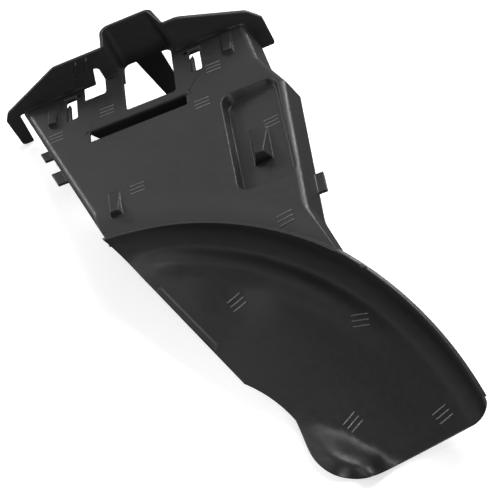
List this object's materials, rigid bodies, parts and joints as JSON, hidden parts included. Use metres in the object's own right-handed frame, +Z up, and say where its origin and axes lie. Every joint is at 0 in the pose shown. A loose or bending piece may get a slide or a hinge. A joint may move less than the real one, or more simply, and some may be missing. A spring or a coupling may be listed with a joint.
{
  "type": "mower mulch plug",
  "caption": "Moulded plug that closes a walk-behind mower's rear chute, with an outside cover flange and a curved scoop that carries on the deck wall.",
  "frame": {"origin": "middle of the bounding box, on the floor that the part rests on", "axes": "+Z up as it lies on a floor with the scoop's hollow up, +Y towards the cover flange, +X to the side that the scoop sweeps to"},
  "size_m": [0.3884, 0.5122, 0.1463],
  "materials": {
    "moulding": "black moulded plastic, fine even grain, satin"
  },
  "bodies": {
    "root": {"mulch_plug": "moulding"}
  },
  "joints": []
}
